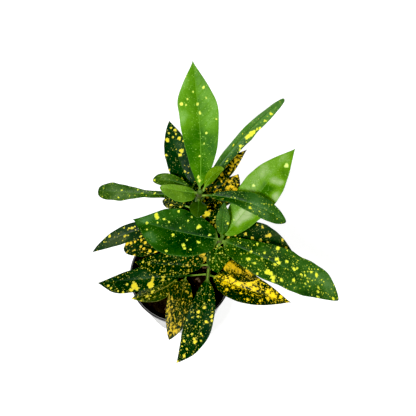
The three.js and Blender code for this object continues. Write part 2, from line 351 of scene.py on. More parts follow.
def makePot():
    top, lip, outer = pot["height"], pot["height"] - pot["lipHeight"], pot["lipRadius"]
    profile = [  # radius and height, up the outside and down the inside
        (pot["footRadius"] - 4, 0.5), (pot["footRadius"] - 3.4, 0), (pot["footRadius"] - 1.2, 0),
        (pot["footRadius"] - 0.4, 0.3), (pot["footRadius"], 1.2),
        (pot["footRadius"] + wallSlope * 6, 6), (pot["footRadius"] + wallSlope * 6.5 + 0.01, 6.4),
        (pot["wallTopRadius"] - wallSlope * 30, lip - 30),
        (pot["wallTopRadius"] - wallSlope * 0.8, lip - 0.8), (pot["wallTopRadius"] + 0.3, lip - 0.1),
        (outer - 1.2, lip + 0.1), (outer - 0.95, lip + 0.5),
        (outer - 0.62, top - 3.5), (outer - 0.35, top - 3.05), (outer - 0.05, top - 2.6),
        (outer, top - 1.6), (outer - 0.2, top - 0.75), (outer - 0.75, top - 0.15), (outer - 1.4, top),
        (outer - 2, top - 0.1), (outer - 2.5, top - 0.6), (outer - 2.72, top - 1.4),
        (outer - 2.8, lip + 2.2), (insideRadius(lip) + 0.12, lip + 0.5), (insideRadius(lip), lip - 0.4),
        (insideRadius(40), 40), (insideRadius(8), 8), (insideRadius(4) - 0.4, 3.2),
        (insideRadius(3) - 1.5, pot["floor"]), (20, pot["floor"]), (4, pot["floor"]),
    ]
    rings = [(Vector((0, 0, z)) * mm, radius * mm) for radius, z in profile]
    piece = drawRings(rings, pot["sides"])
    for i in range(pot["drains"]):
        turn = (i + 0.5) * 2 * math.pi / pot["drains"]
        place = Vector((math.cos(turn), math.sin(turn), 0)) * pot["drainCircle"]
        clearChoice()
        bpy.ops.mesh.primitive_cylinder_add(vertices=pot["drainSides"], radius=pot["drainRadius"] * mm,
                                            depth=pot["drillLength"] * mm, location=place * mm)
        drill = bpy.context.object
        hole = piece.modifiers.new("hole", "BOOLEAN")
        hole.operation, hole.solver, hole.object = "DIFFERENCE", "EXACT", drill
        applyModifier(piece, "hole")
        bpy.data.objects.remove(drill)
    settle(piece, "plantPot", smoothAngle=38)
    piece.data.materials.append(liningMaterial())
    piece.data.materials.append(shellMaterial())
    for face in piece.data.polygons:
        reach, z = face.center.xy.length / mm, face.center.z / mm
        outside = reach > insideRadius(min(z, lip)) + pot["wall"] / 2 or z < 1
        level = abs(face.normal.z) > 0.999
        face.material_index = int(z < 0.6 or outside and z < pot["blackFrom"] and not level)
    finish(piece, "pot")


makePot()
print("pot made")

stems = {
    "a": {"route": [(6, 3, 64), (10, 17, 109), (17, 36.5, 161), (21, 34, 207)], "foot": 3.1, "top": 2.3},
    "b": {"route": [(27, -11, 64), (29, -5, 110), (34, 3, 136), (42, 9, 163)], "foot": 2.3, "top": 1.8},
}
stemLook = {
    "sides": 18,
    "step": 1.6,  # between rings
    "uneven": 0.03,  # share of the radius
    "ridge": 0.22,  # how far the stem stands out under a leaf
    "ridgePlace": (1.4, 1.1),  # how far below the leaf's foot, and its reach up and down
    "scarPlace": (1.6, 0.7),
    "bud": ((0.8, 0.85), (1.4, 0.6), (1.8, 0.35), (2.0, 0.12)),  # height above the top, share of its radius
    "green": (0.085, 0.15),  # the bark turns green between these heights, in metres
    "young": (0.045, 0.105, 0.006, 1),
    "old": (0.04, 0.06, 0.01, 1),
    "cork": (0.09, 0.085, 0.025, 1),
    "scar": (0.075, 0.06, 0.028, 1),  # where a leaf's foot sits
}


def alongRoute(route, share):  # a smooth curve through the route's points
    points = [Vector(p) for p in route]
    points = [2 * points[0] - points[1]] + points + [2 * points[-1] - points[-2]]
    place = min(max(share, 0), 0.999999) * (len(route) - 1)
    a, b, c, d = points[int(place):int(place) + 4]
    t = place - int(place)
    bend = 2 * a - 5 * b + 4 * c - d
    twist = 3 * b - a - 3 * c + d
    return 0.5 * (2 * b + (c - a) * t + bend * t * t + twist * t ** 3)


def stemCentre(stem, z):  # the middle of the stem at a height, by halving
    low, high = 0.0, 1.0
    for _ in range(24):
        middle = (low + high) / 2
        if alongRoute(stem["route"], middle).z < z:
            low = middle
        else:
            high = middle
    return alongRoute(stem["route"], low)


def stemRadius(stem, z):
    low, high = stem["route"][0][2], stem["route"][-1][2]
    return stem["foot"] + (stem["top"] - stem["foot"]) * (z - low) / (high - low)


def stemMaterial():
    material, start, shader = newMaterial("stemBark", Specular_IOR_Level=0.35)
    place = start.add("TexCoord", out="Object")
    height = split(place, 2)
    fibres = clouds(stretch(place, 1, 1, 0.14), 0.0011, 5, 0.7)
    patches = clouds(place, 0.007, 4, 0.6)
    age = 1 - rise(height + 0.02 * (patches - 0.5), *stemLook["green"])
    tone = blend(age, stemLook["young"], stemLook["old"])
    ridges = rise(fibres + 0.35 * (patches - 0.5), 0.5, 0.72)
    tone = blend(ridges * (0.25 + 0.5 * age), tone, stemLook["cork"])
    rings = saved(start, "scar")
    tone = blend(rings * 0.75, tone, stemLook["scar"])
    plug(start, shader, Base_Color=tone, Roughness=0.45 + 0.25 * fibres,
         Normal=bump(fibres - 0.5 * rings, 0.00035))
    return material


def nearLeaf(z, leafHeights, below, reach):  # 1 just below a leaf's foot, fading to 0 up and down
    return max(math.exp(-((z - leaf + below) / reach) ** 2) for leaf in leafHeights)


def makeStem(name, stem, leafHeights, material):
    low, high = stem["route"][0][2], stem["route"][-1][2]
    count = round((high - low) / stemLook["step"])
    rings = []
    for k in range(count + 1):
        z = low + (high - low) * k / count
        ridge = stemLook["ridge"] * nearLeaf(z, leafHeights, *stemLook["ridgePlace"])
        uneven = 1 + stemLook["uneven"] * noise.noise(Vector((z * 0.4, 7.0, 0)))
        rings.append((stemCentre(stem, z) * mm, (stemRadius(stem, z) * uneven + ridge) * mm))
    top = stemCentre(stem, high)
    for above, size in stemLook["bud"]:
        rings.append((Vector((top.x, top.y, high + above)) * mm, stem["top"] * size * mm))
    piece = drawRings(rings, stemLook["sides"])
    scars = piece.data.attributes.new("scar", "FLOAT", "POINT")
    bpy.context.view_layer.update()
    for vertex in piece.data.vertices:
        z = (piece.matrix_world @ vertex.co).z / mm
        scars.data[vertex.index].value = nearLeaf(z, leafHeights, *stemLook["scarPlace"])
    settle(piece, "stem" + name.upper())
    piece.data.materials.append(material)
    finish(piece, "stem_" + name)


# Each leaf leaves its stem at the height "start" and ends at "tip", on a stalk as long as "petiole". Its
# middle line is raised by "lift", moved to its right by "bow" and swung like an S by "hook". It is widest at
# the share "belly" of its blade, "skew" further out on its right half. "swell" and "taper" shape it below and
# above that, "waist" is the least half width, "fold" lifts both halves, "roll" turns the blade, "lop" makes
# its right half the wider one, "wave" ripples its margins and "ragged" makes its outline uneven. Lengths are
# in mm and angles in degrees.
plainLeaf = {
    "petiole": 8, "lift": 0, "bow": 0, "hook": 0, "belly": 0.5, "skew": 0, "swell": 1, "taper": 1, "fold": 12,
    "roll": 0, "lop": 0, "waist": 0, "wave": 0, "ragged": 0.04,
}


def leafRow(kind, start, tip, width, **shape):
    return {**plainLeaf, "kind": kind, "start": start, "tip": tip, "width": width, **shape}


leafRows = {
    "a01": leafRow("young", 202, (15, 125, 276), 36, petiole=3, lift=5, bow=3, belly=0.62, swell=0.72,
        taper=1.2, skew=-0.04, hook=-1),
    "a02": leafRow("fresh", 199, (97.6, 114.8, 233), 14, petiole=5, lift=4, bow=-4.2, hook=0.5, swell=0.42,
        taper=0.38, fold=20, roll=-45, wave=1, ragged=0.12),
    "a03": leafRow("young", 206, (42, 43, 232), 12, petiole=3, bow=-4, belly=0.6, swell=0.9, taper=0.7),
    "a04": leafRow("young", 204, (-14, 31, 221), 18, petiole=2, lift=1, bow=-1, swell=0.35, taper=0.6,
        lop=-0.35),
    "a05": leafRow("fresh", 200, (-21.5, 44.5, 207), 14, petiole=5, lift=1, bow=5, belly=0.7, taper=0.55),
    "a06": leafRow("fresh", 195, (-73, 42.5, 191), 17.2, lift=3, bow=-2.3, belly=0.83, swell=3.5, taper=0.4,
        roll=10, waist=3.5, ragged=0.14),
    "a07": leafRow("fresh", 199, (98, 9.8, 193), 20.6, petiole=3, lift=6, bow=-4.2, belly=0.67, swell=1.3,
        taper=0.62, fold=16, waist=4.6, skew=0.1, ragged=0.08),
    "a08": leafRow("fresh", 193, (19, 8, 207), 16, petiole=4, lift=2, swell=0.8, taper=0.6),
    "a09": leafRow("dark", 182, (-8.5, 109.5, 204), 26.5, petiole=10, lift=3, bow=-4, belly=0.42, swell=0.4,
        taper=0.92, skew=0.07, ragged=0.08),
    "a10": leafRow("golden", 169, (65.5, 91, 182), 18, lift=3, bow=-0.5, belly=0.45, taper=1.1, lop=-0.2),
    "a11": leafRow("golden", 158, (58, 77, 158), 26, petiole=4, lift=3, bow=4.0, belly=0.45, swell=0.5,
        taper=0.95, lop=0.14),
    "a12": leafRow("dark", 161, (-16.5, 53, 148), 17, lift=3, taper=0.85),
    "a13": leafRow("dark", 149, (43, 25, 138), 33, petiole=3, lift=4, bow=-3, belly=0.42, swell=0.4,
        lop=-0.1),
    "a14": leafRow("dark", 142, (-87, 12, 115), 19.5, petiole=16, lift=6, bow=6.4, taper=0.85),
    "a15": leafRow("dark", 133, (-56, 21, 110), 28, petiole=14, lift=4, bow=-6, belly=0.6, taper=0.4,
        ragged=0.08),
    "a16": leafRow("dark", 131, (23, 109, 133), 26, petiole=14, lift=5),
    "a17": leafRow("dark", 119, (-1, 92, 108), 24, petiole=14, lift=5),
    "a18": leafRow("golden", 84, (-10.5, -69, 83), 27, petiole=14, lift=9, bow=-2.2, belly=0.44, swell=0.6,
        taper=0.8, skew=-0.1),
    "a19": leafRow("dark", 80, (-49, -29, 91), 22, petiole=12, lift=5, bow=-8, fold=20, roll=10),
    "b01": leafRow("young", 158, (109, 80, 203), 38, petiole=3, lift=4, bow=1.2, hook=-1, belly=0.52,
        swell=0.55, taper=1.1),
    "b02": leafRow("fresh", 159, (43, 30, 192), 13.5, petiole=1.5, swell=0.42, taper=0.85, fold=18),
    "b03": leafRow("fresh", 157, (-44, 30.5, 154), 49, petiole=0.5, lift=3, bow=-3, swell=0.42, taper=1.2,
        fold=10, lop=-0.09),
    "b04": leafRow("fresh", 157, (150.5, -45, 136), 38.5, petiole=1, lift=9, bow=-1.2, hook=-1.8, belly=0.57,
        swell=0.45, taper=0.76, skew=-0.12, lop=0.1, wave=1.6, ragged=0.09),
    "b05": leafRow("dark", 152, (112, 5, 129), 35.5, petiole=4, lift=5, bow=-6.6, hook=-0.8, belly=0.42,
        swell=0.5, taper=1.3, ragged=0.06),
    "b06": leafRow("fresh", 154, (38.5, -19, 141), 23, petiole=1, lift=2, bow=4, belly=0.45, swell=0.32,
        taper=0.7, lop=-0.25),
    "b07": leafRow("golden", 100, (111, -34.5, 96), 34, petiole=4, lift=9, bow=4.9, belly=0.35, swell=0.55,
        taper=1.15, fold=18),
    "b08": leafRow("golden", 144, (76, -17, 116), 30, petiole=4, lift=3, bow=2, belly=0.45, swell=0.4,
        taper=0.9),
    "b09": leafRow("dark", 115, (-3, -91, 78), 27.8, petiole=11, lift=14, bow=-9, hook=-1.2, swell=0.6,
        taper=1.08, lop=-0.07),
    "b10": leafRow("dark", 101, (-83.5, -13.5, 94), 29.5, petiole=12, lift=8, bow=-2.8, belly=0.53, swell=1.7,
        taper=1.15, skew=-0.18),
    "b11": leafRow("dark", 118, (-45, 3, 110), 26, petiole=5, lift=3, bow=-3, swell=0.6),
    "b12": leafRow("dark", 128, (-7, 1, 129), 28, petiole=2, lift=5, bow=2, swell=0.45),
    "b13": leafRow("dark", 126, (83, 71, 131), 27, petiole=6, lift=4, swell=0.6, lop=-0.1),
    "b14": leafRow("dark", 112, (124, 9, 106), 26, petiole=14, lift=5),
}
leafMesh = {
    "columns": 20,
    "petioleRows": 8,
    "bladeRows": 54,
    "petioleWidth": 1.6,
    "thick": 0.72,  # of the blade beside the midrib
    "edgeThick": 0.46,
    "rib": 0.8,  # how far the midrib stands out below
    "ribReach": 1.0,
    "groove": 0.35,  # above the midrib
    "grooveReach": 1.1,
    "curl": 0.7,  # the margins turn down a little
    "sway": 0.8,  # slow ups and downs of the margins
    "swayNoise": 3.5,
    "edgeNoise": 9,
    "waves": 2.5,
    "foot": 0.45,  # how much thicker the stalk is where it joins the stem
    "footReach": 1.8,
    "gap": 0.4,  # from the stem to the first point of the centre line
    "reachIn": 0.9,  # the stalk's end goes into the stem's skin
    "tipCrowding": 1.2,  # rows lie closer towards the tip
    "ribCrowding": 1.25,  # columns lie closer towards the midrib
    "veinStep": 7,  # between side veins
}


def midrib(leaf, stem):  # the four points that steer the leaf's centre line
    centre = stemCentre(stem, leaf["start"])
    tip = Vector(leaf["tip"])
    outward = (tip - centre).xy.to_3d().normalized()
    start = centre
    for _ in range(3):
        chord = tip - start
        right = chord.cross(Vector((0, 0, 1))).normalized()
        above = right.cross(chord).normalized()
        raised = start + above * leaf["lift"] * 4 / 3
        near = raised + chord / 3 + right * (leaf["bow"] - leaf["hook"]) * 4 / 3
        far = raised + chord * 2 / 3 + right * (leaf["bow"] + leaf["hook"]) * 4 / 3
        slope = abs((near - start).normalized().z)
        gap = leafMesh["gap"] + 0.5 * leafMesh["petioleWidth"] * slope
        start = centre + outward * (stemRadius(stem, leaf["start"]) + gap)
    return start, near, far, tip


def traceLine(steer):  # the centre line by distance from its start
    a, b, c, d = steer
    steps = 160

    def curve(t):
        return a * (1 - t) ** 3 + b * 3 * t * (1 - t) ** 2 + c * 3 * t * t * (1 - t) + d * t ** 3

    gone = [0.0]
    for i in range(steps):
        gone.append(gone[-1] + (curve((i + 1) / steps) - curve(i / steps)).length)

    def at(distance):
        k = 0
        while k < steps - 1 and gone[k + 1] < distance:
            k += 1
        t = (k + (distance - gone[k]) / (gone[k + 1] - gone[k])) / steps
        ahead = (b - a) * (1 - t) ** 2 + (c - b) * 2 * t * (1 - t) + (d - c) * t * t
        return curve(t), ahead.normalized()

    return at, gone[-1]


def smooth(low, high, value):
    t = min(max((value - low) / (high - low), 0), 1)
    return t * t * (3 - 2 * t)


def halfWidth(leaf, u, side):
    if u <= 0:
        return leafMesh["petioleWidth"] / 2
    belly = leaf["belly"] + leaf["skew"] * side
    if u < belly:
        outline = math.sin(math.pi / 2 * u / belly) ** leaf["swell"]
    else:
        outline = max(0, math.cos(math.pi / 2 * (u - belly) / (1 - belly))) ** leaf["taper"]
    waist = leaf["waist"] * min(1, 6 * u, 6 * (1 - u))
    least = leafMesh["petioleWidth"] / 2 * (1 - smooth(0.9, 1, u)) + 0.15
    return max(least, waist, leaf["width"] / 2 * outline)


def shapeLeaf(piece, leaf, stem, seed):
    at, length = traceLine(midrib(leaf, stem))
    columns, petioleRows, bladeRows = [leafMesh[key] for key in ("columns", "petioleRows", "bladeRows")]
    rows = petioleRows + bladeRows
    upper, lower, places, shares = {}, {}, {}, {}
    for row in range(rows + 1):
        if row < petioleRows:
            distance = leaf["petiole"] * row / petioleRows
        else:
            u = 1 - (1 - (row - petioleRows) / bladeRows) ** leafMesh["tipCrowding"]
            distance = leaf["petiole"] + u * (length - leaf["petiole"])
        u = (distance - leaf["petiole"]) / (length - leaf["petiole"])
        centre, ahead = at(distance)
        if row == 0:
            centre = centre - ahead * leafMesh["reachIn"]
        right = ahead.cross(Vector((0, 0, 1))).normalized()
        right.rotate(Quaternion(ahead, math.radians(-leaf["roll"])))
        above = right.cross(ahead)
        blade = smooth(-0.01, 0.14, u)
        foot = 1 + leafMesh["foot"] * math.exp(-(distance / leafMesh["footReach"]) ** 2)
        fold = math.radians(leaf["fold"])
        for column in range(columns + 1):
            s = 2 * column / columns - 1
            x = math.copysign(abs(s) ** leafMesh["ribCrowding"], s)
            side = (x > 0) - (x < 0)
            width = halfWidth(leaf, u, side)
            lop = 1 + leaf["lop"] * side * smooth(0, 0.04, u)
            bumps = noise.noise(Vector((u * leafMesh["edgeNoise"], 4 * (s > 0), seed * 3.7)))
            reach = abs(x) * width * lop * (1 + leaf["ragged"] * blade * bumps)
            ripple = 0.0
            if u > 0:
                ripple = leaf["wave"] * math.sin(2 * math.pi * leafMesh["waves"] * u + (0 if x > 0 else 1.3))
                sway = noise.noise(Vector((u * leafMesh["swayNoise"], 3 * (x > 0), seed * 5.1)))
                ripple += leafMesh["sway"] * 2 * sway
                ripple *= abs(x) ** 1.5 * math.sin(math.pi * u)
                ripple -= leafMesh["curl"] * abs(x) ** 2.5 * math.sin(math.pi * u) * min(1, width / 12)
            groove = leafMesh["groove"] * math.exp(-(reach / leafMesh["grooveReach"]) ** 2)
            groove *= blade * (1 - smooth(0.7, 1, u))
            stalk = leafMesh["petioleWidth"] / 2 * foot * math.sqrt(max(0, 1 - 0.97 * x * x))
            flat = leafMesh["thick"] + (leafMesh["edgeThick"] - leafMesh["thick"]) * abs(x)
            rib = leafMesh["rib"] * math.exp(-(reach / leafMesh["ribReach"]) ** 2)
            rib *= (1 - 0.75 * max(u, 0)) * min(1, width / 5)
            topLift = stalk + (flat / 2 - groove - stalk) * blade
            depth = 2 * stalk + (flat + rib - 2 * stalk) * blade
            point = centre + right * math.copysign(reach, x) * foot * math.cos(fold * blade)
            point += above * (reach * math.sin(fold * blade) + ripple)
            key = (column, row)
            upper[key] = point + above * topLift
            lower[key] = point + above * (topLift - depth)
            places[key] = (distance - leaf["petiole"], math.copysign(reach, x), 0)
            shares[key] = (u, x, 0)
    mesh = piece.data
    keys = [(round((v.co.x + 1) / 2 * columns), round((v.co.y + 1) / 2 * rows)) for v in mesh.vertices]
    place = mesh.attributes.new("leafPlace", "FLOAT_VECTOR", "POINT")
    share = mesh.attributes.new("leafShare", "FLOAT_VECTOR", "POINT")
    for i, key in enumerate(keys):
        mesh.vertices[i].co = upper[key] * mm
        place.data[i].vector = places[key]
        share.data[i].vector = shares[key]
    wall = piece.modifiers.new("wall", "SOLIDIFY")  # adds the underside, which is put in place below
    wall.thickness, wall.offset = 0.5 * mm, -1
    applyModifier(piece, "wall")
    mesh = piece.data
    share = mesh.attributes["leafShare"]
    for i, key in enumerate(keys):
        under = len(keys) + i
        mesh.vertices[under].co = lower[key] * mm
        share.data[under].vector = (*shares[key][:2], 1)


def paintLeaf(piece, paint):  # spots, lighter areas and golden areas, as values at each point of the blade
    mesh = piece.data
    eye = Vector(view["place"])

    def landing(x, y):  # where a pixel of the picture falls on this leaf
        ray = pictureRay(x, y)
        hit, place, _, _ = piece.ray_cast(eye, ray)
        if hit:
            return place
        return min((v.co for v in mesh.vertices), key=lambda co: (co - eye).cross(ray).length).copy()

    marks = [(landing(x, y), size, landing(*end) if end else None)
             for x, y, size, *end in paint.get("marks", ())]
    # the lighter and darker areas are painted highlights, sheen and shade
    areas = {field: [(landing(x, y), size * mm, amount) for x, y, size, amount in paint.get(field, ())]
             for field in ("paintedLight", "gilt")}
    mesh.attributes.new("marks", "FLOAT_VECTOR", "POINT")
    for field in ("paintedLight", "gilt"):
        mesh.attributes.new(field, "FLOAT", "POINT")
    for i, vertex in enumerate(mesh.vertices):
        depths = [(-9, 1)]  # no spot near
        for place, size, end in marks:
            near = place
            if end:
                near, along = intersect_point_line(vertex.co, place, end)
                near = place if along < 0 else end if along > 1 else near
            depths.append((size - (vertex.co - near).length / mm, size))
        mesh.attributes["marks"].data[i].vector = (*max(depths), 0)
        for field, places in areas.items():
            mesh.attributes[field].data[i].value = sum(
                amount * math.exp(-((vertex.co - place).length / size) ** 2)
                for place, size, amount in places)


def makeLeaf(name, leaf, paint, material, seed):
    rows = leafMesh["petioleRows"] + leafMesh["bladeRows"]
    clearChoice()
    bpy.ops.mesh.primitive_grid_add(x_subdivisions=leafMesh["columns"], y_subdivisions=rows, size=2,
                                    calc_uvs=False)
    piece = bpy.context.object
    shapeLeaf(piece, leaf, stems[name[0]], seed)
    faceOutward(piece)
    finer = piece.modifiers.new("finer", "SUBSURF")
    finer.levels = finer.render_levels = 1
    applyModifier(piece, "finer")
    settle(piece, "leaf" + name.upper())
    bpy.context.view_layer.update()
    paintLeaf(piece, paint)
    piece.data.materials.append(material)
    return piece


# Colours and spotting of each kind of leaf. "deep" and "light" are the greens, and the palest green after
# them is a painted sheen for the lightest places; "rib" is the midrib and veins, "spot" the large spots and
# "fleck" the smallest. "fine" and "middle" are the shares of the cells of small spots that are filled.
# "speckle" is how much of the blade is ragged gold, in patches about "grain" mm across, and "streak" draws
# the marks out along the leaf. "sheen" is how strongly the leaf shines.
plainLook = {"speckle": None, "streak": 1, "sheen": 0.08, "grain": 2.3, "roughness": 0.38}
leafLooks = {
    "young": {**plainLook,
        "deep": (0.016, 0.08, 0.002, 1), "light": (0.068, 0.19, 0.005, 1), "pale": (0.16, 0.32, 0.07, 1),
        "rib": (0.13, 0.3, 0.025, 1), "spot": (0.52, 0.62, 0.16, 1), "fleck": (0.2, 0.38, 0.05, 1),
        "fine": 0.5, "middle": 0.05, "roughness": 0.42,
    },
    "fresh": {**plainLook,
        "deep": (0.002, 0.018, 0.002, 1), "light": (0.019, 0.07, 0.005, 1), "pale": (0.075, 0.16, 0.045, 1),
        "rib": (0.06, 0.17, 0.02, 1), "spot": (0.6, 0.6, 0.03, 1), "fleck": (0.19, 0.3, 0.035, 1),
        "fine": 0.6, "middle": 0.25, "sheen": 0.09,
    },
    "dark": {**plainLook,
        "deep": (0.0008, 0.0075, 0.002, 1), "light": (0.0052, 0.024, 0.0055, 1),
        "pale": (0.035, 0.06, 0.022, 1), "rib": (0.025, 0.07, 0.01, 1), "spot": (0.6, 0.5, 0.025, 1),
        "fleck": (0.3, 0.32, 0.06, 1), "fine": 0.55, "middle": 0.45,
    },
    "golden": {**plainLook,
        "deep": (0.001, 0.008, 0.001, 1), "light": (0.006, 0.023, 0.006, 1), "pale": (0.035, 0.055, 0.015, 1),
        "rib": (0.1, 0.11, 0.012, 1), "spot": (0.82, 0.58, 0.012, 1), "fleck": (0.25, 0.24, 0.02, 1),
        "fine": 0.6, "middle": 0.4, "speckle": 0.2,
    },
}
stalkColour, underColour = (0.13, 0.22, 0.03, 1), (0.08, 0.14, 0.03, 1)
